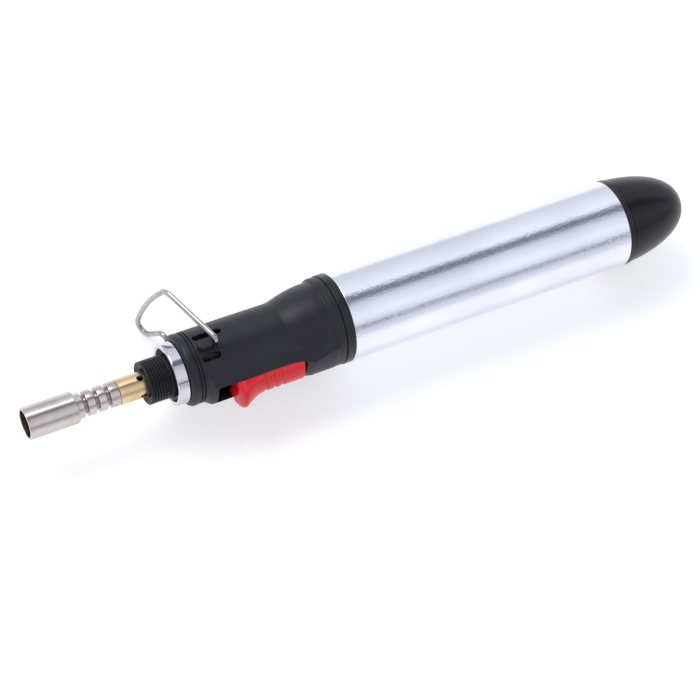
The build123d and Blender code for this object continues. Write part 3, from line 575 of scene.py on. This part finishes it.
# Ends and radii of the barrel, and of the plugs that close it with O-rings.
BARREL_FRONT = 89.75
BARREL_BACK = 176.44
BARREL_R = 12.5
BARREL_BORE_R = 12.0
BARREL_EDGE = 0.16
PLUG_R = 10.55
RING_GROOVE_R = 9.62


def barrel_sleeve():
    """Thin tube with softened ends."""
    sleeve = [(BARREL_FRONT, BARREL_BORE_R, 0), (BARREL_BACK, BARREL_BORE_R, 0)]
    sleeve += [(BARREL_BACK, BARREL_R, BARREL_EDGE), (BARREL_FRONT, BARREL_R, BARREL_EDGE)]
    add_piece("barrel_tube", lathe(rounded(sleeve), segments=FINE_SEGMENTS), "torch",
              "barrel_aluminium", ["barrel_sleeve"])


# Tail cap: a blunt dome from its centre plane, and the lip and pocket in front of it.
CAP_CENTRE = 176.5
CAP_LENGTH = 23.0
CAP_R = 12.25
CAP_WALL = 1.8
CAP_POWER = 1.8
CAP_BLUNTNESS = 0.4
CAP_LIP = 178.3
CAP_LIP_END = 178.5
CAP_LIP_EDGE = 0.18
CAP_POCKET_END = 184.2
CAP_POCKET_R = 10.25
CAP_STEPS = 72
CAP_SEGMENTS = 160


def cap_dome(grow, start):
    """Outline of the dome from start to its tip, with both half axes longer by grow."""
    long_axis = CAP_LENGTH + grow
    short_axis = CAP_R + grow
    first = math.asin((start - CAP_CENTRE) / long_axis)
    points = []
    for i in range(CAP_STEPS + 1):
        share = math.sin(first + (math.pi / 2 - first) * i / CAP_STEPS)
        rise = max(0.0, 1 - share ** CAP_POWER) ** CAP_BLUNTNESS
        points.append((CAP_CENTRE + long_axis * share, short_axis * rise))
    return points


def tail_cap():
    """Blunt rounded cap with a softened lip and a hollow inside."""
    outer = cap_dome(0.0, CAP_LIP_END)
    inner = cap_dome(-CAP_WALL, CAP_POCKET_END)
    outline = [(CAP_LIP, outer[0][1] - CAP_LIP_EDGE)] + outer + inner[::-1]
    outline += [(CAP_POCKET_END, CAP_POCKET_R), (CAP_LIP, CAP_POCKET_R)]
    add_piece("tail_cap_shell", lathe(outline, segments=CAP_SEGMENTS), "cap", "cap_gloss",
              ["tail_cap"], sharp_degrees=40)


def tank_head():
    """Front plug with the glossy band."""
    head = [(85.05, 3.4, 0), (97.0, 3.4, 0), (97.0, PLUG_R, 0.2), (93.65, PLUG_R, 0)]
    head += [(93.65, RING_GROOVE_R, 0), (92.35, RING_GROOVE_R, 0), (92.35, PLUG_R, 0)]
    head += [(BARREL_FRONT, PLUG_R, 0), (BARREL_FRONT, 12.6, 0.12), (87.3, 12.6, 0.3)]
    head += [(87.3, 7.9, 0), (85.05, 7.9, 0)]
    add_piece("band_and_head_plug", lathe(rounded(head)), "torch", "band_black", ["tank_head"])


def tank_tail():
    """Rear plug with the flange that the cap meets."""
    tail = [(166.0, 3.0, 0), (184.0, 3.0, 0), (184.0, 10.2, 0.3), (178.2, 10.2, 0)]
    tail += [(178.2, 12.45, 0.2), (176.5, 12.45, 0.15), (176.5, PLUG_R, 0), (172.15, PLUG_R, 0)]
    tail += [(172.15, RING_GROOVE_R, 0), (170.85, RING_GROOVE_R, 0), (170.85, PLUG_R, 0)]
    tail += [(166.0, PLUG_R, 0.2)]
    add_piece("tail_plug", lathe(rounded(tail)), "torch", "band_black", ["tank_tail"])


# ------------------------------------------------------------------ stand and trigger

WIRE_R = 0.76
WIRE_SIDES = 20
WIRE_BEND_STEPS = 12
END_BEVEL = 0.35       # bevel of a wire's end, as a share of its radius


def sweep(path, radius, sides=WIRE_SIDES):
    """Round wire along a smooth path, with slightly rounded ends."""
    bm = bmesh.new()
    frames = []
    normal = None
    for index, point in enumerate(path):
        ahead = path[min(index + 1, len(path) - 1)] - path[max(index - 1, 0)]
        ahead.normalize()
        if normal is None:
            normal = ahead.orthogonal().normalized()
        normal = (normal - ahead * normal.dot(ahead)).normalized()
        frames.append((point, normal.copy(), ahead.cross(normal), ahead))
    bevel = radius * END_BEVEL
    first, last = frames[0], frames[-1]
    rows = [(first[0], first, radius - bevel), (first[0] + first[3] * bevel, first, radius)]
    rows += [(frame[0], frame, radius) for frame in frames[1:-1]]
    rows += [(last[0] - last[3] * bevel, last, radius), (last[0], last, radius - bevel)]
    rings = []
    for place, (_, across, up, _), size in rows:
        angles = [2 * math.pi * i / sides for i in range(sides)]
        rings.append([
            bm.verts.new(place + (across * math.cos(a) + up * math.sin(a)) * size) for a in angles])
    for near, far in zip(rings, rings[1:]):
        for i in range(sides):
            j = (i + 1) % sides
            bm.faces.new((near[i], near[j], far[j], far[i]))
    bm.faces.new(rings[0])
    bm.faces.new(reversed(rings[-1]))
    return bm


# Stand: pivot across the nose, lean of its plane in degrees, and its corners with their bends.
PIVOT = Vector((52.5, 0, 0))
STAND_LEAN = 70
STAND_CORNERS = [
    (0, 7.4, 0), (0, 12.7, 1.1), (19.1, 11.75, 3.3), (24.9, -1.0, 72.0),
    (26.75, -24.5, 2.5), (17.3, -9.45, 2.0), (0, -12.7, 1.1), (0, -7.4, 0),
]


def wire_stand():
    """Bent wire loop, in the plane of its legs."""
    lean = math.radians(STAND_LEAN)
    along = Vector((-math.cos(lean), math.sin(lean), 0))
    flat = rounded(STAND_CORNERS, closed=False, steps=WIRE_BEND_STEPS)
    path = [PIVOT + along * p.x + Vector((0, 0, p.y)) for p in flat]
    add_piece("stand_wire", sweep(path, WIRE_R), "stand", "wire_steel", ["wire_stand"])


# Return springs: piece, node, joint and its travel, then start, end, height of the axis,
# coil radius, wire radius and turns.
SPRINGS = (
    ("piezo_return_coil", "piezo_spring", "trigger_slide", 5.0, 63.0, 69.5, -5.4, 1.85, 0.16, 4),
    ("valve_return_coil", "valve_spring", "stem_lift", 0.6, 88.0, 92.2, 0.0, 1.6, 0.2, 4),
    ("refill_return_coil", "fill_valve_spring", "refill_press", 1.5, 170.5, 176.5, 0.0, 1.4, 0.2, 5),
)
COIL_STEPS = 24        # steps in each turn of a coil
COIL_SIDES = 10


def return_springs():
    """Open coils, one for each return spring, at their rest length."""
    for name, node, joint, travel, start, end, height, radius, wire, turns in SPRINGS:
        steps = COIL_STEPS * turns
        path = []
        for step in range(steps + 1):
            angle = 2 * math.pi * turns * step / steps
            along = start + wire + (end - start - 2 * wire) * step / steps
            path.append(Vector((
                along, height + radius * math.cos(angle), radius * math.sin(angle))))
        coil = add_piece(name, sweep(path, wire, COIL_SIDES), "torch", "steel", [node])
        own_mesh(coil)


# Middle line of the trigger's crest: x and height.
TRIGGER_CREST = [
    (54.8, -12.9), (54.95, -13.55), (55.15, -14.15), (55.4, -14.75), (55.7, -15.27),
    (56.0, -15.53), (56.35, -15.62), (56.75, -15.5), (57.3, -15.2), (58.0, -14.8),
    (58.8, -14.35), (59.6, -13.93), (60.4, -13.58), (61.3, -13.29), (62.2, -13.11),
    (63.2, -13.05), (75.1, -13.05),
]
TRIGGER_CROWN = 5.0    # radius of the crest across the grip
TRIGGER_FRONT = 54.84
TRIGGER_BACK = 75.1
TRIGGER_HALF_WIDTH = 4.2
TRIGGER_BOTTOM = -8.8
TRIGGER_CORNER = 1.2
TRIGGER_REAR_ROUND = 0.25
TRIGGER_RAKE = math.tan(math.radians(9.0))
TRIGGER_RAKE_START = 70.0
TRIGGER_GROOVES = (63.4, 66.0, 68.2)
TRIGGER_GROOVE_WIDTH = 0.42
TRIGGER_GROOVE_DEPTH = 0.6
TRIGGER_ACROSS = 32    # steps across the crest

# Spacing of the grip's sections: fine at the front, coarser behind, and round the rear edge.
FRONT_SECTIONS = 26
FRONT_STEP = 0.05
REST_START = 1.35
REST_SECTIONS = 156
REST_STEP = 0.12
REAR_SECTIONS = 6

# Skid under the slot, rising to the valve ramp, and the tab behind the igniter's plunger.
SKID = [(55.2, -8.8), (81.6, -8.8), (81.6, -7.25), (76.4, -8.0), (55.2, -8.0)]
SKID_HALF_WIDTH = 5.0
TAB = [(70.55, -8.1), (72.6, -8.1), (72.6, -4.4), (70.55, -4.4)]
TAB_HALF_WIDTH = 1.8


def crest_at(x):
    """Height of the trigger's middle line at x."""
    for left, right in zip(TRIGGER_CREST, TRIGGER_CREST[1:]):
        if x <= right[0]:
            share = max(0.0, (x - left[0]) / (right[0] - left[0]))
            return left[1] + (right[1] - left[1]) * share
    return TRIGGER_CREST[-1][1]


def corner_inset(radius, reach):
    """How far a rounded corner draws in where it is reach past its start."""
    reach = max(0.0, reach)
    return radius - math.sqrt(max(0.0, radius ** 2 - reach ** 2))


def grip_sections():
    """Places of the grip's sections along the tool."""
    rear = TRIGGER_BACK - TRIGGER_REAR_ROUND
    places = [TRIGGER_FRONT + FRONT_STEP * i for i in range(FRONT_SECTIONS)]
    places += [TRIGGER_FRONT + REST_START + REST_STEP * i for i in range(REST_SECTIONS)]
    places = [x for x in places if x < rear]
    return places + [rear + TRIGGER_REAR_ROUND * i / (REAR_SECTIONS - 1) for i in range(REAR_SECTIONS)]


def grip_section(bm, x):
    """One section of the grip across the tool, crowned on top and cut by the grooves."""
    rear_inset = corner_inset(TRIGGER_REAR_ROUND, x - (TRIGGER_BACK - TRIGGER_REAR_ROUND))
    front_inset = corner_inset(TRIGGER_CORNER, TRIGGER_FRONT + TRIGGER_CORNER - x)
    wide = TRIGGER_HALF_WIDTH - front_inset - rear_inset
    top = crest_at(x) + rear_inset + TRIGGER_CROWN
    top += TRIGGER_GROOVE_DEPTH * sum(
        math.exp(-(((x - place) / TRIGGER_GROOVE_WIDTH) ** 2)) for place in TRIGGER_GROOVES)
    behind = max(0.0, x - TRIGGER_RAKE_START)
    lean = TRIGGER_RAKE * behind / (TRIGGER_BACK - TRIGGER_RAKE_START)
    ring = [bm.verts.new((x, TRIGGER_BOTTOM, -wide))]
    for step in range(TRIGGER_ACROSS + 1):
        z = wide * math.sin((step / TRIGGER_ACROSS - 0.5) * math.pi)
        y = top - math.sqrt(TRIGGER_CROWN ** 2 - z ** 2)
        ring.append(bm.verts.new((x - lean * (TRIGGER_BOTTOM - y), y, z)))
    ring.append(bm.verts.new((x, TRIGGER_BOTTOM, wide)))
    return ring


def trigger_grip():
    """Closed grip: crowned top with finger grooves, rounded front corners, raked rear face."""
    bm = bmesh.new()
    rings = [grip_section(bm, x) for x in grip_sections()]
    for near, far in zip(rings, rings[1:]):
        for i in range(len(near)):
            j = (i + 1) % len(near)
            bm.faces.new((near[i], near[j], far[j], far[i]))
    bm.faces.new(rings[0])
    bm.faces.new(reversed(rings[-1]))
    return bm


def add_prism(bm, outline, half):
    """Adds a closed prism across the tool from an (x, y) outline."""
    near = [bm.verts.new((x, y, -half)) for x, y in outline]
    far = [bm.verts.new((x, y, half)) for x, y in outline]
    for i in range(len(outline)):
        j = (i + 1) % len(outline)
        bm.faces.new((near[i], near[j], far[j], far[i]))
    bm.faces.new(near)
    bm.faces.new(reversed(far))


def trigger():
    """Grip, skid and tab in one sliding piece."""
    bm = trigger_grip()
    add_prism(bm, SKID, SKID_HALF_WIDTH)
    add_prism(bm, TAB, TAB_HALF_WIDTH)
    add_piece("trigger_slider", bm, "trigger", "trigger_red", ["trigger"], sharp_degrees=42)


camera()
world()
dress_cad_nodes()
floor()
for make in (burner_nozzle, threaded_collar, retaining_ring, barrel_sleeve, tail_cap, tank_head,
             tank_tail, wire_stand, return_springs, trigger):
    make()
area_light("key", place=(-0.10, 0.30, 0.55), aim=(0.10, 0, 0), size=(0.5, 0.3), power=2.0)
bpy.context.scene.view_settings.view_transform = "Standard"
